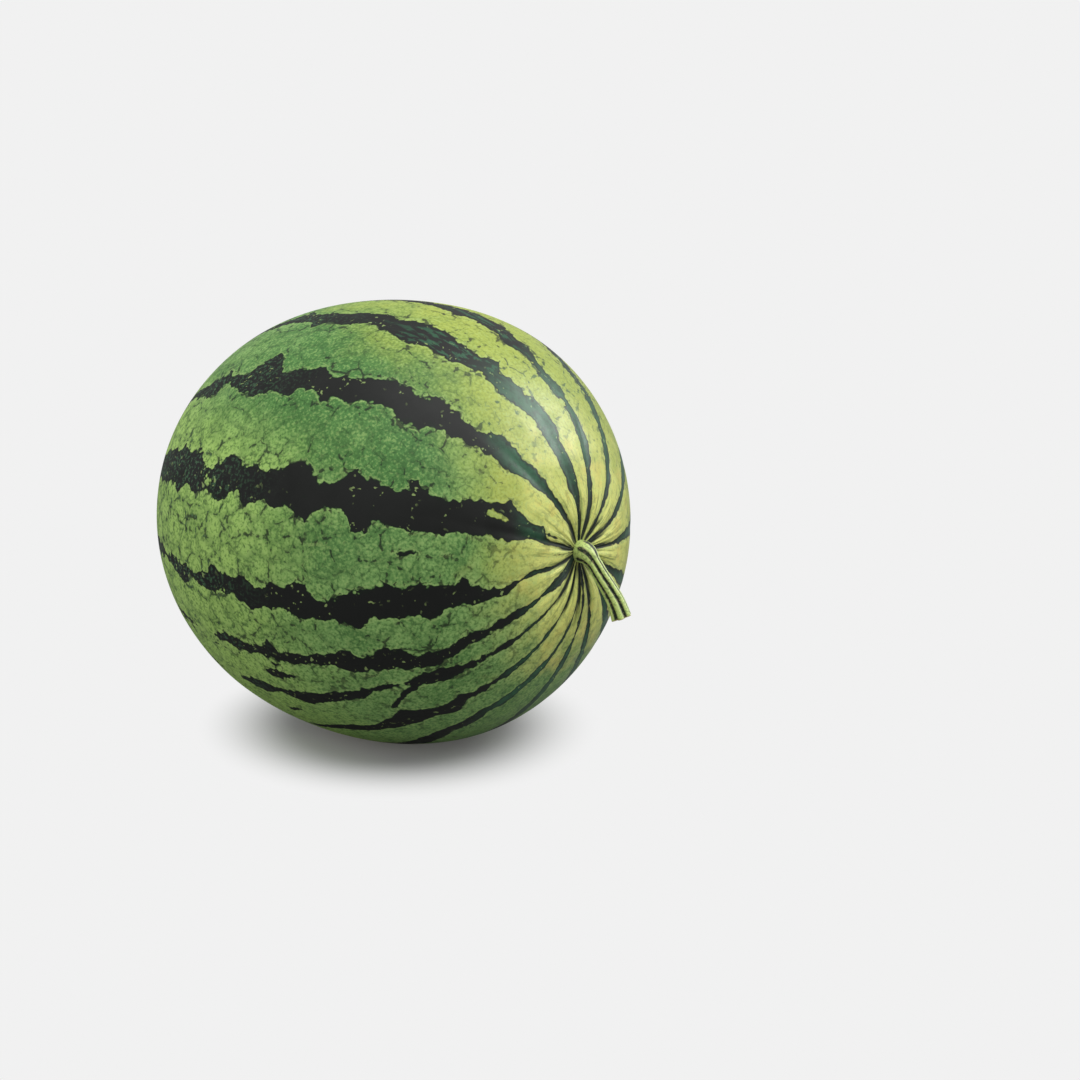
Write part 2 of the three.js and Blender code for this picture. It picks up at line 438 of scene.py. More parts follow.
def noise(vector, size, detail=2.0, roughness=0.5):
    """Soft noise with features of about that size, in metres, round 0.5."""
    inputs = {"Vector": vector, "Scale": 1 / size, "Detail": detail, "Roughness": roughness}
    return field_of(vector.tree, "ShaderNodeTexNoise", inputs, "Fac")


def cells(vector, size, feature="F1"):
    """Distance within cells of about that size, as a share of it."""
    inputs = {"Vector": vector, "Scale": 1 / size}
    return field_of(vector.tree, "ShaderNodeTexVoronoi", inputs, "Distance", feature=feature)


def attribute(tree, name):
    return field_of(tree, "ShaderNodeAttribute", output="Fac", attribute_name=name)


def object_coordinates(tree):
    return field_of(tree, "ShaderNodeTexCoord", output="Object")


def geometry_tree(name, sizes):
    """A geometry node tree with a number input for each size, and those inputs as fields."""
    tree = bpy.data.node_groups.new(name, "GeometryNodeTree")
    tree.interface.new_socket(name="Geometry", in_out="OUTPUT", socket_type="NodeSocketGeometry")
    for size in sizes:
        whole = isinstance(sizes[size], int)
        kind = "NodeSocketInt" if whole else "NodeSocketFloat"
        tree.interface.new_socket(name=size, in_out="INPUT", socket_type=kind)
    inputs = tree.nodes.new("NodeGroupInput")
    return tree, {size: Field(tree, inputs.outputs[size]) for size in sizes}


def store(geometry, name, value, kind="FLOAT", domain="POINT"):
    inputs = {"Geometry": geometry, "Name": name, "Value": value}
    return field_of(geometry.tree, "GeometryNodeStoreNamedAttribute", inputs, data_type=kind, domain=domain)


def move_to(geometry, position):
    return field_of(geometry.tree, "GeometryNodeSetPosition", {"Geometry": geometry, "Position": position})


def end_tree(geometry, material):
    """Realises, shades and paints what a tree has made, and puts it out."""
    tree = geometry.tree
    real = field_of(tree, "GeometryNodeRealizeInstances", {"Geometry": geometry})
    smooth = field_of(tree, "GeometryNodeSetShadeSmooth", {"Geometry": real})
    painted = field_of(tree, "GeometryNodeSetMaterial", {"Geometry": smooth, "Material": material})
    add_node(tree, "NodeGroupOutput", {0: painted})


def piece_from_tree(name, tree, sizes):
    """Runs a geometry node tree with its sizes and keeps the result as a plain mesh piece."""
    maker = bpy.data.objects.new(f"{name}_maker", bpy.data.meshes.new(f"{name}_maker"))
    bpy.context.scene.collection.objects.link(maker)
    modifier = maker.modifiers.new("Maker", "NODES")
    modifier.node_group = tree
    for item in tree.interface.items_tree:
        if item.in_out == "INPUT":
            modifier[item.identifier] = sizes[item.name]
    evaluated = maker.evaluated_get(bpy.context.evaluated_depsgraph_get())
    mesh = bpy.data.meshes.new_from_object(evaluated)
    bpy.data.objects.remove(maker)
    mesh.name = name
    piece = bpy.data.objects.new(name, mesh)
    bpy.context.scene.collection.objects.link(piece)
    return piece


def settings_as_sizes(settings, names):
    return {name: getattr(settings, name) for name in names}


def outline(rind, polar):
    """Half of the fruit's outline, without hollows: place along its axis and distance from it."""
    cosine, sine = np.cos(polar), np.sin(polar)
    fullness = 1 + rind.stem_half_fullness * cosine + 4 * rind.shoulder_fullness * (sine * cosine) ** 2
    return rind.fruit_length / 2 * cosine, rind.fruit_diameter / 2 * sine * fullness


def lying_place(rind):
    """Where the middle of the fruit is as it lies: its flattened belly is at the origin."""
    along, across = outline(rind, np.linspace(math.pi / 4, 3 * math.pi / 4, 2001))
    height = along * math.sin(rind.rest_rise) - across * math.cos(rind.rest_rise)
    lowest = int(np.argmin(height))
    forward = along[lowest] * math.cos(rind.rest_rise) + across[lowest] * math.sin(rind.rest_rise)
    return Vector((-forward, 0, -height[lowest] - rind.flat_depth))


def lying_matrix(rind):
    """From the fruit's own frame, with its axis along X, to how it lies."""
    return Matrix.Translation(lying_place(rind)) @ Matrix.Rotation(-rind.rest_rise, 4, "Y")


RIND_SIZES = (
    "fruit_length", "fruit_diameter", "stem_half_fullness", "shoulder_fullness", "rest_rise",
    "stem_hollow_depth", "stem_hollow_radius", "furrow_depth", "furrow_width", "furrow_peak",
    "blossom_hollow_depth", "blossom_hollow_radius", "scar_radius", "scar_height", "segments", "rings",
)
RING_CROWDING = 0.25  # draws the rings of faces together towards both ends
FLAT_EDGE = 3 * MM  # how softly the belly turns into the flat spot
SWELL_SIZE = 70 * MM  # the fruit's own slight lumps, across
SWELL_HEIGHT = 0.6 * MM
WRINKLES = 41  # fine wrinkles round the stem hollow
WRINKLE_DEPTH = 0.16  # as a share of the furrows' depth


def rind_tree(sizes, middle, material):
    """The fruit's skin by its rule: an even ball of faces, drawn out to the outline and laid down."""
    tree, size = geometry_tree("Watermelon rind", sizes)
    faces = {"Segments": size["segments"], "Rings": size["rings"]}
    ball = add_node(tree, "GeometryNodeMeshUVSphere", faces)
    skin = Field(tree, ball.outputs["Mesh"])
    skin = store(skin, BAKE_UV, Field(tree, ball.outputs["UV Map"]), "FLOAT2", "CORNER")
    x, y, z = parts_of(field_of(tree, "GeometryNodeInputPosition"))

    even = calculate("ARCCOSINE", calculate("MAXIMUM", calculate("MINIMUM", z, 1.0), -1.0))
    polar = even - RING_CROWDING * calculate("SINE", 2.0 * even)
    longitude = calculate("ARCTAN2", y, x)
    cosine = calculate("COSINE", polar)
    sine = calculate("SINE", polar)
    skin = store(skin, POLAR, polar * math.degrees(1))

    swing = sine * cosine
    fullness = 1.0 + size["stem_half_fullness"] * cosine + 4.0 * size["shoulder_fullness"] * swing * swing
    across = size["fruit_diameter"] / 2.0 * sine * fullness
    stem_side = calculate("GREATER_THAN", cosine, 0.0)
    stem_hollow = size["stem_hollow_depth"] * bell(across, size["stem_hollow_radius"])
    scar = size["scar_height"] * bell(across, size["scar_radius"])
    blossom_hollow = size["blossom_hollow_depth"] * bell(across, size["blossom_hollow_radius"]) - scar
    along = size["fruit_length"] / 2.0 * cosine
    along = along - stem_hollow * stem_side + blossom_hollow * (1.0 - stem_side)

    furrow_share = furrow_shape(size, across, longitude) * stem_side
    skin = store(skin, FURROW, furrow_share)
    furrow = size["furrow_depth"] * furrow_share
    across = across - furrow * sine
    along = along - furrow * cosine
    side = across * calculate("COSINE", longitude)
    height = across * calculate("SINE", longitude)
    swell = SWELL_HEIGHT * (2.0 * noise(vector_of(tree, along, side, height), SWELL_SIZE, 1.0) - 1.0)
    stretch = 1.0 + swell / (size["fruit_diameter"] / 2.0)
    side = side * stretch
    height = height * stretch

    rise_cosine = calculate("COSINE", size["rest_rise"])
    rise_sine = calculate("SINE", size["rest_rise"])
    lying_x = along * rise_cosine - height * rise_sine + middle.x
    lying_z = along * rise_sine + height * rise_cosine + middle.z
    lying_z = calculate("SMOOTH_MAX", lying_z, 0.0, FLAT_EDGE)
    end_tree(move_to(skin, vector_of(tree, lying_x, side, lying_z)), material)
    return tree


def furrow_shape(size, across, longitude):
    """How deep the furrows and fine wrinkles are, from 0 to 1, round the stem hollow."""
    turns = []
    for degrees in FURROW_LONGITUDES:
        turn = calculate("WRAP", longitude - math.radians(degrees), math.pi, -math.pi)
        turns.append(calculate("ABSOLUTE", turn))
    nearest = turns[0]
    for turn in turns[1:]:
        nearest = calculate("MINIMUM", nearest, turn)
    reach = across / size["furrow_peak"]
    fade = reach * calculate("EXPONENT", 1.0 - reach)
    wave = calculate("COSINE", longitude * float(WRINKLES) + 3.0 * calculate("SINE", longitude * 7.0))
    return fade * (bell(nearest * across, size["furrow_width"]) + WRINKLE_DEPTH * wave * fade)


def depth_between(edges, polar, longitude, across):
    """How far each corner lies inside a pair of edges, in metres; below zero outside them."""
    first, second = (np.interp(polar, *zip(*edge)) for edge in edges)
    away = np.abs((longitude - (first + second) / 2 + 180) % 360 - 180)
    return np.radians((second - first) / 2 - away) * across


def mark_stripes(mesh, rind):
    """Gives each corner of the rind its depth inside the nearest dark stripe, in metres."""
    corners = np.empty(len(mesh.vertices) * 3, np.float32)
    mesh.vertices.foreach_get("co", corners)
    lying = np.array(lying_matrix(rind).inverted())
    own = corners.reshape(-1, 3) @ lying[:3, :3].T + lying[:3, 3]
    across = np.hypot(own[:, 1], own[:, 2])
    longitude = np.degrees(np.arctan2(own[:, 2], own[:, 1]))
    polar = np.empty(len(mesh.vertices), np.float32)
    mesh.attributes[POLAR].data.foreach_get("value", polar)
    stripes = [depth_between(edges, polar, longitude, across) for edges in STRIPES.values()]
    islands = [depth_between(edges, polar, longitude, across) for edges in ISLANDS.values()]
    depth = np.minimum(np.max(stripes, axis=0), -np.max(islands, axis=0))
    layer = mesh.attributes.new(STRIPE_DEPTH, "FLOAT", "POINT")
    layer.data.foreach_set("value", depth.astype(np.float32))


def new_material(name):
    material = bpy.data.materials.new(name)
    material.use_nodes = True
    tree = material.node_tree
    tree.nodes.clear()
    shader = tree.nodes.new("ShaderNodeBsdfPrincipled")
    output = tree.nodes.new("ShaderNodeOutputMaterial")
    tree.links.new(shader.outputs[0], output.inputs["Surface"])
    return material, tree, shader


def plug(field, socket):
    field.tree.links.new(field.socket, socket)


def bump(height, amount, depth):
    inputs = {"Strength": amount, "Distance": depth, "Height": height}
    return field_of(height.tree, "ShaderNodeBump", inputs)


def shader_group(name, inputs, outputs):
    """A shader node group with number or vector inputs, and its inputs as fields."""
    tree = bpy.data.node_groups.new(name, "ShaderNodeTree")
    for socket, kind in inputs.items():
        tree.interface.new_socket(name=socket, in_out="INPUT", socket_type=kind)
    for socket in outputs:
        tree.interface.new_socket(name=socket, in_out="OUTPUT", socket_type="NodeSocketFloat")
    start = tree.nodes.new("NodeGroupInput")
    return tree, {socket: Field(tree, start.outputs[socket]) for socket in inputs}


def use_group(tree, group, inputs):
    node = add_node(tree, "ShaderNodeGroup", inputs, node_tree=group)
    return {output.name: Field(tree, output) for output in node.outputs}


def flecks_group():
    """Fine grown mottle, shared by the rind and the stem: dark flecks and light flecks, 0 to 1."""
    name = "Grown flecks"
    if name in bpy.data.node_groups:
        return bpy.data.node_groups[name]
    kinds = {"Vector": "NodeSocketVector", "Fineness": "NodeSocketFloat"}
    tree, given = shader_group(name, kinds, ("Dark", "Light"))
    inputs = {"Vector": given["Vector"], "Scale": given["Fineness"], "Detail": 2.0, "Roughness": 0.6}
    net = field_of(tree, "ShaderNodeTexNoise", inputs, "Fac")
    inputs = {"Vector": given["Vector"], "Scale": given["Fineness"] * 1.1}
    value = net + 0.3 * (field_of(tree, "ShaderNodeTexVoronoi", inputs, "Distance") - 0.5)
    add_node(tree, "NodeGroupOutput", {"Dark": ramp(value, 0.48, 0.68), "Light": ramp(value, 0.5, 0.32)})
    return tree


FLECK_SIZE = 1.6 * MM
SPOKE_CIRCLE = 30 * MM  # distance from the stem at which its streaks are as wide as their noise
# Lobes along the stripes: across, and how far they reach
LOBE_SIZES = ((14 * MM, 5 * MM), (6 * MM, 3.6 * MM), (2.6 * MM, 2.3 * MM))
WANDER = (14 * MM, 3 * MM)  # how long and how wide the lobes wander
CRINKLE = (4.5 * MM, 1.5 * MM)  # the same for the cracks between them
CRACK_BLUR = 0.3 * MM
LIT_SIDE = Vector((0.45, 0.54, 0.71))  # the upper side, where the lights fall: the ground is painted yellower towards it
COOL_SIDE = Vector((0.26, -0.54, 0.8))  # the side where the ground turns darker and cooler, towards the upper front


def wandering(vector, size, reach):
    """Coordinates that wander aside, so that what is drawn with them has no straight lines."""
    inputs = {"Vector": vector, "Scale": 1 / size, "Detail": 1.0}
    three_noises = field_of(vector.tree, "ShaderNodeTexNoise", inputs, "Color")
    aside = combine("SUBTRACT", three_noises, (0.5, 0.5, 0.5))
    return combine("ADD", vector, stretched(aside, 2 * reach))


def towards(place, side, radius):
    """How far a place lies towards a side of the fruit: 1 on that side, -1 on the far one."""
    inputs = {0: combine("SUBTRACT", place, (0, 0, radius)), 1: side}
    return field_of(place.tree, "ShaderNodeVectorMath", inputs, "Value", operation="DOT_PRODUCT") / radius


def skin_fields(tree):
    """What the rind's finish is worked out from at each point: its place, its stripe and its cracks."""
    place = object_coordinates(tree)
    x, y, z = parts_of(place)
    polar = attribute(tree, POLAR)
    stripe = attribute(tree, STRIPE_DEPTH)
    wander = wandering(place, *WANDER)
    crinkled = wandering(wander, *CRINKLE)

    # Stripe edges: round light lobes with sharp dark cusps between them, calm towards the stem
    ragged = ramp(polar, 14, 46, 0.3, 1.0) * ramp(z, 30 * MM, 100 * MM, 0.5, 1.0)
    edge = stripe
    for across, reach in LOBE_SIZES:
        edge = edge + reach * (cells(wander, across) - 0.5) * ragged

    # Gaps between the lobes, and where their cracks are broken into dashes
    wide, fine = (across for across, _ in LOBE_SIZES[:2])
    return SimpleNamespace(
        tree=tree, place=place, x=x, y=y, z=z, polar=polar, stripe=stripe, furrow=attribute(tree, FURROW),
        wander=wander, ragged=ragged, edge=edge,
        broken=ramp(noise(place, 3.6 * MM), 0.48, 0.57) * ragged,
        wide_gap=cells(crinkled, wide, "DISTANCE_TO_EDGE") * wide,
        fine_gap=cells(crinkled, fine, "DISTANCE_TO_EDGE") * fine,
    )


def dark_share(skin):
    """Where the skin is dark: the stripes, the cracks by them and lone dots."""
    dark = ramp(skin.edge, -0.3 * MM, 0.3 * MM)
    wide_width = 0.75 * MM * ramp(skin.stripe, -15 * MM, -2 * MM)
    fine_width = 0.6 * MM * ramp(skin.edge, -2.5 * MM, 0.0)
    wide_cracks = ramp(skin.wide_gap - wide_width, CRACK_BLUR, -CRACK_BLUR)
    fine_cracks = ramp(skin.fine_gap - fine_width, CRACK_BLUR, -CRACK_BLUR)
    cracks = calculate("MAXIMUM", wide_cracks, fine_cracks) * skin.broken
    dots = ramp(noise(skin.place, 2.4 * MM, 1.0), 0.7, 0.74) * ramp(skin.edge, -5 * MM, -1 * MM)
    dots = dots * skin.ragged
    return calculate("MAXIMUM", dark, calculate("MAXIMUM", cracks, dots) * 0.8)


def blotched(skin, size):
    """Soft blotches of about that size, from about -0.5 to 0.5."""
    return noise(skin.place, size, 3.0) - 0.5


def ground_colour(skin, rind):
    """Light ground: yellow-green towards the lit side, partly its own tone and partly painted light; cool
    patches round the middle; fine flecks all over.
    """
    radius = rind.fruit_diameter / 2
    # Painted light, partly: the ground turns yellow-green towards the lit upper side and the stem end, over
    # its own yellower tone there
    lit = towards(skin.place, LIT_SIDE, radius) + ramp(skin.polar, 56, 20, 0.0, 0.38)
    warm = ramp(lit + 0.5 * blotched(skin, 30 * MM), 0.35, 0.85)
    fresh = ramp(skin.polar + 30.0 * blotched(skin, 20 * MM), 60, 102)
    fresh = fresh * ramp(skin.z, 200 * MM, 165 * MM)
    # The ground turns darker and cooler towards the upper front, and in random patches
    cool_side = towards(skin.place, COOL_SIDE, radius) + 0.7 * blotched(skin, 24 * MM)
    cool_patch = ramp(cool_side, 0.55, 1.0) * ramp(skin.polar, 34, 54)
    cool = calculate("MAXIMUM", cool_patch, ramp(blotched(skin, 26 * MM), -0.04, 0.18, 0.0, 0.5))
    yellow = ramp(skin.polar + 30.0 * blotched(skin, 12 * MM), 40, 12)
    yellow = yellow * ramp(skin.y, -60 * MM, -30 * MM, 0.5, 1.0)
    ground = mix_colours(cool, rind.leaf_green, rind.cool_green)
    ground = mix_colours(fresh * 0.85, ground, rind.fresh_green)
    ground = mix_colours(warm, ground, rind.warm_green)
    ground = mix_colours(yellow, ground, rind.stem_yellow)

    flecks = use_group(skin.tree, flecks_group(), {"Vector": skin.place, "Fineness": 1 / FLECK_SIZE})
    dark_flecks = flecks["Dark"] * (0.58 - 0.3 * warm) * (1.0 - 0.6 * yellow)
    valleys = ramp(skin.wide_gap, 2.6 * MM, 0.2 * MM) * skin.ragged * (0.34 - 0.26 * warm)
    veins = ramp(skin.fine_gap, 0.9 * MM, 0.2 * MM) * skin.broken * (0.4 - 0.3 * warm)
    rim = bell(skin.edge + 0.9 * MM, 0.5 * MM)
    ground = mix_colours(dark_flecks, ground, rind.fleck_green)
    ground = mix_colours(flecks["Light"] * 0.36, ground, rind.rim_green)
    ground = mix_colours(valleys, ground, rind.fleck_green)
    ground = mix_colours(veins, ground, rind.fleck_green)
    ground = mix_colours(rim * 0.35, ground, rind.rim_green)
    return with_stem_end(skin, rind, ground, yellow)


def with_stem_end(skin, rind, ground, yellow):
    """The ground with fine streaks that run into the stem end, painted shade in the furrows, and ripe
    ridges.
    """
    pole = lying_matrix(rind) @ Vector((rind.fruit_length / 2, 0, 0))
    aside = skin.y - pole.y
    above = skin.z - pole.z
    away = distance_from_axis(aside, above)
    round_stem = (aside / away * SPOKE_CIRCLE, above / away * SPOKE_CIRCLE)
    spoke = noise(vector_of(skin.tree, away * 0.12, *round_stem), 1.6 * MM, 3.0, 0.6)
    near_stem = ramp(skin.polar, 30, 9)
    ripe = ramp(blotched(skin, 13 * MM), 0.0, 0.16) * ramp(skin.polar, 46, 32) * ramp(skin.polar, 8, 18)
    # Painted shade: the furrows round the stem, with streaks near its foot, darken to near black
    furrow_shade = skin.furrow + 0.7 * (spoke - 0.5) * ramp(skin.polar, 4, 9)
    ground = mix_colours(ripe * yellow * 0.45, ground, rind.ripe_tint)
    ground = mix_colours(near_stem * ramp(spoke, 0.5, 0.68) * 0.6, ground, rind.fleck_green)
    ground = mix_colours(near_stem * ramp(spoke, 0.46, 0.32) * 0.4, ground, rind.rim_green)
    return mix_colours(ramp(furrow_shade, 0.45, 0.9), ground, rind.edge_line_and_furrow_shade)


def stripe_colour(skin, rind):
    """Near black; green and streaked towards the lit stem end, partly their own tone and partly painted
    sheen; peppered towards the blossom end.
    """
    streaks = noise(vector_of(skin.tree, skin.x * 0.2, skin.y, skin.z), 3 * MM, 3.0, 0.6)
    # Painted sheen, partly: the stripes turn green on the lit side of the stem end, over their own greener
    # tone there
    green_and_sheen = ramp(skin.polar, 58, 36) * ramp(skin.y, -50 * MM, -34 * MM)
    green_and_sheen = green_and_sheen * ramp(streaks, 0.3, 0.6, 0.5, 1.0) * ramp(skin.polar, 11, 25, 0.3, 1.0)
    middle = ramp(skin.edge, 2.2 * MM, 4 * MM) * ramp(streaks, 0.48, 0.6)
    middle = middle * ramp(skin.polar, 90, 60) * ramp(skin.y, -50 * MM, -30 * MM)
    green_and_sheen = calculate("MAXIMUM", green_and_sheen, middle * 0.8)
    pepper = ramp(noise(skin.place, 1.8 * MM, 2.0, 0.6), 0.5, 0.66) * ramp(skin.polar, 78, 112)
    specks = ramp(noise(skin.wander, 2.8 * MM, 1.0), 0.66, 0.71) * ramp(skin.edge, 0.6 * MM, 1.6 * MM)
    specks = specks * ramp(noise(skin.place, 16 * MM, 1.0), 0.42, 0.6)
    stripes = mix_colours(green_and_sheen, rind.stripe_black, rind.stripe_green)
    stripes = mix_colours(pepper * 0.8, stripes, rind.stripe_pepper)
    stripes = mix_colours(bell(skin.edge - 0.4 * MM, 0.9 * MM) * 0.8, stripes, rind.edge_line_and_furrow_shade)
    return mix_colours(specks * 0.55, stripes, rind.rim_green)


def rind_material(rind):
    """Waxy rind: mottled light ground, dark lobed stripes with a pale rim, corky scar."""
    material, tree, shader = new_material("watermelon_rind")
    skin = skin_fields(tree)
    colours = mix_colours(dark_share(skin), ground_colour(skin, rind), stripe_colour(skin, rind))

    # Pale spot where the fruit lay on the soil, and the corky scar at the blossom end
    lain = distance_from_axis(skin.x, skin.y) + 16 * MM * blotched(skin, 12 * MM)
    soil_spot = ramp(lain, 58 * MM, 34 * MM) * ramp(skin.z, 22 * MM, 8 * MM)
    cork = ramp(skin.polar + 2.0 * blotched(skin, 3 * MM), 176.6, 177.8)
    colours = mix_colours(soil_spot * 0.8, colours, rind.soil_spot)
    colours = mix_colours(cork, colours, rind.scar_brown)
    plug(colours, shader.inputs["Base Color"])

    # Wax: smoothest on the shoulder at the stem end, duller by the stem, further back and on the scar
    worn = noise(skin.place, 12 * MM, 4.0, 0.6)
    roughness = ramp(worn, 0.3, 0.7, rind.roughness - 0.05, rind.roughness + 0.07) + 0.3 * cork
    roughness = roughness + ramp(skin.polar, 30, 14, 0.0, 0.3) + ramp(skin.polar, 48, 88, 0.0, 0.24)
    plug(roughness, shader.inputs["Roughness"])
    shader.inputs["Specular IOR Level"].default_value = rind.sheen
    relief = 0.6 * noise(skin.place, 2.2 * MM, 3.0, 0.6) + 0.4 * noise(skin.place, 9 * MM, 2.0)
    plug(bump(relief, 0.2, 0.4 * MM), shader.inputs["Normal"])
    return material


STEM_SIZES = ("foot_radius", "neck_radius", "cut_radius", "foot_share", "neck_share", "ribs", "rib_depth")
STEM_SIDES = 144
STEM_STEPS = 150
CUT_RINGS = 8
STEM_TWIST = 0.5  # how far the ribs turn along the stem, in radians
CUT_DISH = 0.9 * MM  # how far the dry cut end has sunk in its middle
BARK_SIZE = 2.4 * MM
BARK_HEIGHT = 0.22 * MM


def stem_guide(rind):
    """The stem's middle line as a curve, laid as the fruit lies."""
    bottom = Vector((rind.fruit_length / 2 - rind.stem_hollow_depth, 0, 0))
    line = bpy.data.curves.new("stem_guide", "CURVE")
    line.dimensions = "3D"
    line.resolution_u = 24
    spline = line.splines.new("BEZIER")
    spline.bezier_points.add(len(STEM_PATH) - 1)
    for knot, point in zip(spline.bezier_points, STEM_PATH):
        knot.co = lying_matrix(rind) @ (bottom + point)
        knot.handle_left_type = "AUTO"
        knot.handle_right_type = "AUTO"
    guide = bpy.data.objects.new("stem_guide", line)
    bpy.context.scene.collection.objects.link(guide)
    return guide


def stem_tree(sizes, guide, material):
    """The stem by its rule: a rod bent along its guide, with ribs that grow out of a round foot."""
    tree, size = geometry_tree("Watermelon stem", sizes)
    faces = {"Vertices": STEM_SIDES, "Side Segments": STEM_STEPS, "Fill Segments": CUT_RINGS}
    inputs = {**faces, "Radius": 1.0, "Depth": 1.0}
    rod = field_of(tree, "GeometryNodeMeshCylinder", inputs, "Mesh", fill_type="TRIANGLE_FAN")
    x, y, z = parts_of(field_of(tree, "GeometryNodeInputPosition"))
    along = calculate("MAXIMUM", calculate("MINIMUM", z + 0.5, 1.0), 0.0)
    turn = calculate("ARCTAN2", y, x)
    out = distance_from_axis(x, y)
    neck = ramp(along, size["foot_share"], size["neck_share"])
    wave = calculate("COSINE", size["ribs"] / 2.0 * (turn + STEM_TWIST * along))
    crest = calculate("ABSOLUTE", wave)
    foot = (size["foot_radius"] - size["neck_radius"]) * (1.0 - neck)
    flare = (size["cut_radius"] - size["neck_radius"]) * along * along * along
    radius = (size["neck_radius"] + foot + flare) * (1.0 - size["rib_depth"] * (1.0 - crest) * neck)

    stem = store(rod, ALONG_STEM, along)
    stem = store(stem, RIB_CREST, 1.0 - (1.0 - crest) * ramp(along, 0.13, 0.2))
    inputs = {"Object": guide}
    way = field_of(tree, "GeometryNodeObjectInfo", inputs, "Geometry", transform_space="ORIGINAL")
    inputs = {"Curves": way, "Factor": along}
    sampled = add_node(tree, "GeometryNodeSampleCurve", inputs, mode="FACTOR", use_all_curves=True)
    middle, tangent, normal = (
        Field(tree, sampled.outputs[name]) for name in ("Position", "Tangent", "Normal")
    )
    across = combine("CROSS_PRODUCT", tangent, normal)
    bark = BARK_HEIGHT * (noise(vector_of(tree, x * 4 * MM, y * 4 * MM, z * 15 * MM), BARK_SIZE, 2.0) - 0.5)
    reach = out * (radius + bark)
    dish = calculate("GREATER_THAN", along, 0.999) * CUT_DISH * bell(out, 0.6)
    place = combine("ADD", middle, stretched(normal, reach * calculate("COSINE", turn)))
    place = combine("ADD", place, stretched(across, reach * calculate("SINE", turn)))
    place = combine("ADD", place, stretched(tangent, -dish))
    end_tree(move_to(stem, place), material)
    return tree


def stem_material(stem):
    """Half-dry stem: pale ribs, painted shade in the grooves, a corky cut end."""
    material, tree, shader = new_material("watermelon_stem")
    place = object_coordinates(tree)
    along = attribute(tree, ALONG_STEM)
    crest = attribute(tree, RIB_CREST)
    flecks = use_group(tree, flecks_group(), {"Vector": place, "Fineness": 1 / (1.4 * MM)})
    # Painted shade: the grooves between the ribs go near black; the dark flecks take the same colour
    rib = ramp(crest + 0.3 * (noise(place, 3 * MM, 3.0) - 0.5), 0.42, 0.82)
    body = mix_colours(rib, stem.groove_shade_and_flecks, stem.rib_colour)
    body = mix_colours(flecks["Dark"] * 0.45, body, stem.groove_shade_and_flecks)
    body = mix_colours(flecks["Light"] * 0.3, body, stem.cut_colour)
    cut = ramp(along + 0.01 * (noise(place, 1 * MM, 2.0) - 0.5), 0.985, 0.998)
    body = mix_colours(cut, body, stem.cut_colour)
    plug(body, shader.inputs["Base Color"])
    plug(ramp(crest, 0.2, 0.8, 0.8, 0.55), shader.inputs["Roughness"])
    plug(bump(noise(place, 0.9 * MM, 3.0, 0.6), 0.3, 0.3 * MM), shader.inputs["Normal"])
    return material


class WATERMELON_OT_rind(bpy.types.Operator):
    """Build the fruit with its striped rind"""

    bl_idname = "watermelon.rind"
    bl_label = "Rind"

    def execute(self, context):
        rind = context.scene.watermelon_rind
        sizes = settings_as_sizes(rind, RIND_SIZES)
        tree = rind_tree(sizes, lying_place(rind), rind_material(rind))
        piece = piece_from_tree("watermelon_rind", tree, sizes)
        mark_stripes(piece.data, rind)
        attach(piece, BODY)
        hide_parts("fruit")
        return {"FINISHED"}


class WATERMELON_OT_stem(bpy.types.Operator):
    """Build the ribbed stem"""

    bl_idname = "watermelon.stem"
    bl_label = "Stem"

    def execute(self, context):
        stem = context.scene.watermelon_stem
        guide = stem_guide(context.scene.watermelon_rind)
        sizes = settings_as_sizes(stem, STEM_SIZES)
        piece = piece_from_tree("watermelon_stem", stem_tree(sizes, guide, stem_material(stem)), sizes)
        bpy.data.objects.remove(guide)
        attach(piece, BODY)
        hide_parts("stem")
        return {"FINISHED"}


FLOOR_REACH = 12.0  # metres from the fruit to the floor's edge
CORE_GLOW = 0.05  # how much the floor glows next to the resting spot
SUN_DISTANCE = 3  # metres from the fruit; a sun lights alike from any distance
SENSOR = 36.0  # millimetres


def direction(azimuth, elevation):
    """From the fruit towards something at that azimuth and elevation; azimuth 0 is along -Y."""
    level = math.cos(elevation)
    return Vector((math.sin(azimuth) * level, -math.cos(azimuth) * level, math.sin(elevation)))


def facing(forward, up):
    """Turns a camera or a light, which looks along its own -Z, to look forward."""
    back = -forward.normalized()
    right = up.cross(back).normalized()
    return Matrix((right, back.cross(right), back)).transposed().to_4x4()


def add_camera(stage, middle):
    back = direction(stage.azimuth, stage.elevation)
    right = Vector((math.cos(stage.azimuth), math.sin(stage.azimuth), 0))
    up = back.cross(right)
    half = stage.picture_side / 2
    aim = -back * stage.focal_pixels + right * (half - stage.aim[0]) + up * (stage.aim[1] - half)
    data = bpy.data.cameras.new("camera")
    data.sensor_width = SENSOR
    data.lens = stage.focal_pixels * SENSOR / stage.picture_side
    camera = bpy.data.objects.new("camera", data)
    camera.matrix_world = Matrix.Translation(middle + back * stage.distance) @ facing(aim, up)
    bpy.context.scene.collection.objects.link(camera)
    bpy.context.scene.camera = camera


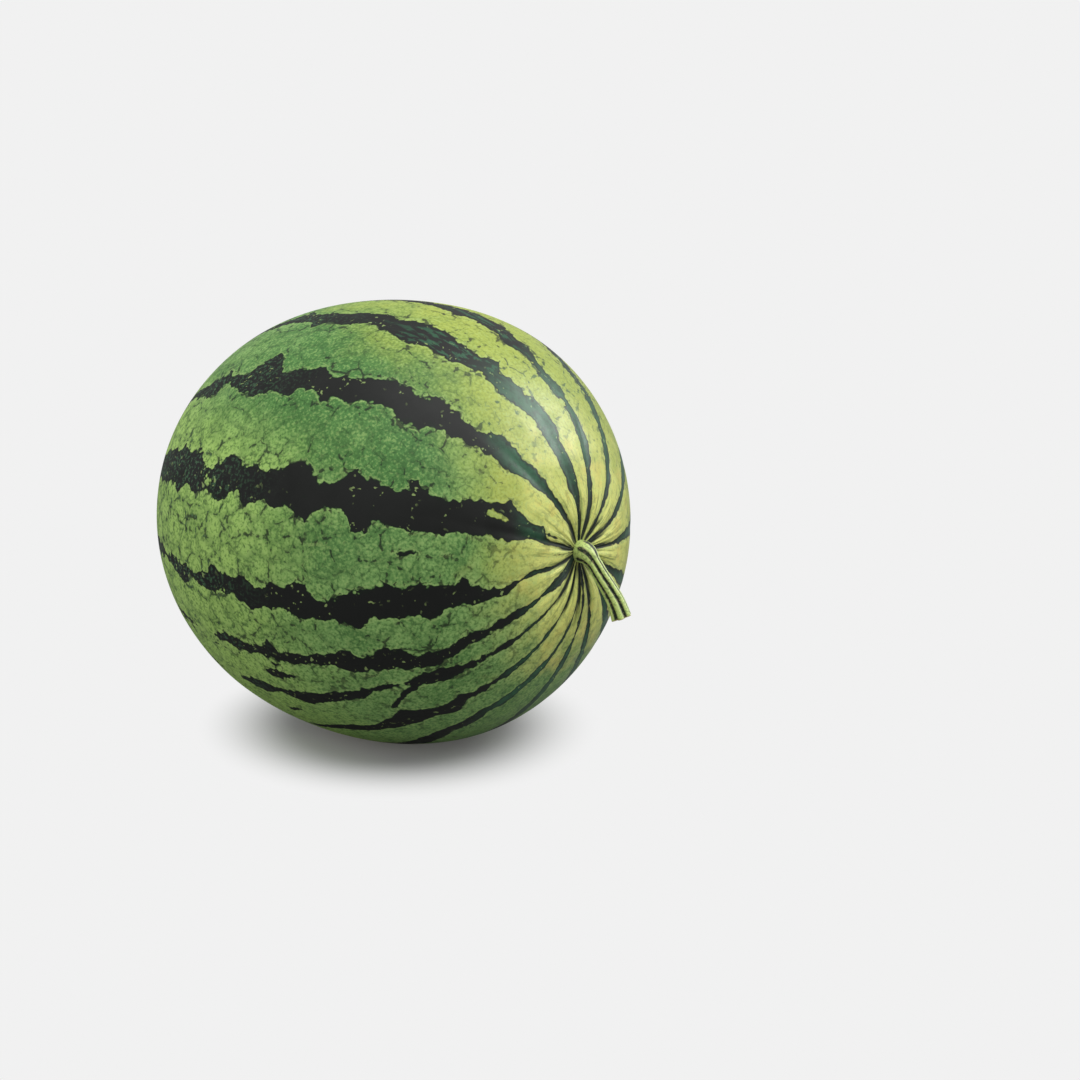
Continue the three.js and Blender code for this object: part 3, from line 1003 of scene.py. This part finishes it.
def add_floor(stage):
    mesh = bpy.data.meshes.new("floor")
    corners = [(x * FLOOR_REACH, y * FLOOR_REACH, 0) for x, y in ((-1, -1), (1, -1), (1, 1), (-1, 1))]
    mesh.from_pydata(corners, [], [(0, 1, 2, 3)])
    material, tree, shader = new_material("floor")
    path = field_of(tree, "ShaderNodeLightPath", output="Is Camera Ray")
    x, y, _ = parts_of(object_coordinates(tree))
    glow = ramp(distance_from_axis(x, y), stage.shadow_core, stage.shadow_reach, CORE_GLOW, 1.0)
    lit_colour = mix_colours(glow, stage.floor_colour, (0, 0, 0))
    plug(mix_colours(path, stage.bounce_colour, lit_colour), shader.inputs["Base Color"])
    shader.inputs["Emission Color"].default_value = (*stage.backdrop_colour, 1)
    plug(path * glow, shader.inputs["Emission Strength"])
    shader.inputs["Roughness"].default_value = 0.9
    shader.inputs["Specular IOR Level"].default_value = 0.0
    mesh.materials.append(material)
    floor = bpy.data.objects.new("floor", mesh)
    bpy.context.scene.collection.objects.link(floor)


def add_sun(name, power, azimuth, height, softness):
    data = bpy.data.lights.new(name, "SUN")
    data.energy = power
    data.angle = softness
    sun = bpy.data.objects.new(name, data)
    side = direction(azimuth, height)
    sun.matrix_world = Matrix.Translation(side * SUN_DISTANCE) @ facing(-side, Vector((0, 0, 1)))
    bpy.context.scene.collection.objects.link(sun)
    return sun


def add_lights(stage):
    suns = {}
    for name in SUNS:
        suns[name] = add_sun(name, *(getattr(stage, f"{name}_{part}") for part in SUN_PARTS))
    suns["sheen"].visible_diffuse = False

    world = bpy.data.worlds.new("studio")
    world.use_nodes = True
    tree = world.node_tree
    tree.nodes.clear()
    fill = add_node(tree, "ShaderNodeBackground", {"Color": (1, 1, 1, 1), "Strength": stage.fill_power})
    seen = add_node(tree, "ShaderNodeBackground", {"Color": (*stage.backdrop_colour, 1), "Strength": 1.0})
    path = tree.nodes.new("ShaderNodeLightPath")
    either = tree.nodes.new("ShaderNodeMixShader")
    output = tree.nodes.new("ShaderNodeOutputWorld")
    tree.links.new(path.outputs["Is Camera Ray"], either.inputs[0])
    tree.links.new(fill.outputs[0], either.inputs[1])
    tree.links.new(seen.outputs[0], either.inputs[2])
    tree.links.new(either.outputs[0], output.inputs["Surface"])
    bpy.context.scene.world = world


class WATERMELON_OT_stage(bpy.types.Operator):
    """Set the floor, the lights and the camera"""

    bl_idname = "watermelon.stage"
    bl_label = "Stage"

    def execute(self, context):
        stage = context.scene.watermelon_stage
        context.scene.view_settings.view_transform = "Standard"
        add_camera(stage, lying_place(context.scene.watermelon_rind))
        add_floor(stage)
        add_lights(stage)
        return {"FINISHED"}


class WATERMELON_PT_panel(bpy.types.Panel):
    """Lists the fruit's settings and what builds it"""

    bl_idname = "WATERMELON_PT_panel"
    bl_label = "Watermelon"
    bl_space_type = "VIEW_3D"
    bl_region_type = "UI"
    bl_category = "Watermelon"

    def draw(self, context):
        scene = context.scene
        for operator, settings in (
            (WATERMELON_OT_rind, scene.watermelon_rind),
            (WATERMELON_OT_stem, scene.watermelon_stem),
            (WATERMELON_OT_stage, scene.watermelon_stage),
        ):
            box = self.layout.box()
            box.operator(operator.bl_idname)
            for name in settings.__annotations__:
                box.prop(settings, name)


CLASSES = (
    RindSettings,
    StemSettings,
    StageSettings,
    WATERMELON_OT_rind,
    WATERMELON_OT_stem,
    WATERMELON_OT_stage,
    WATERMELON_PT_panel,
)


def register():
    for cls in CLASSES:
        bpy.utils.register_class(cls)
    bpy.types.Scene.watermelon_rind = PointerProperty(type=RindSettings)
    bpy.types.Scene.watermelon_stem = PointerProperty(type=StemSettings)
    bpy.types.Scene.watermelon_stage = PointerProperty(type=StageSettings)


def unregister():
    del bpy.types.Scene.watermelon_stage
    del bpy.types.Scene.watermelon_stem
    del bpy.types.Scene.watermelon_rind
    for cls in reversed(CLASSES):
        bpy.utils.unregister_class(cls)


def main():
    register()
    bpy.ops.watermelon.stage()
    bpy.ops.watermelon.rind()
    bpy.ops.watermelon.stem()


if __name__ == "__main__":
    main()
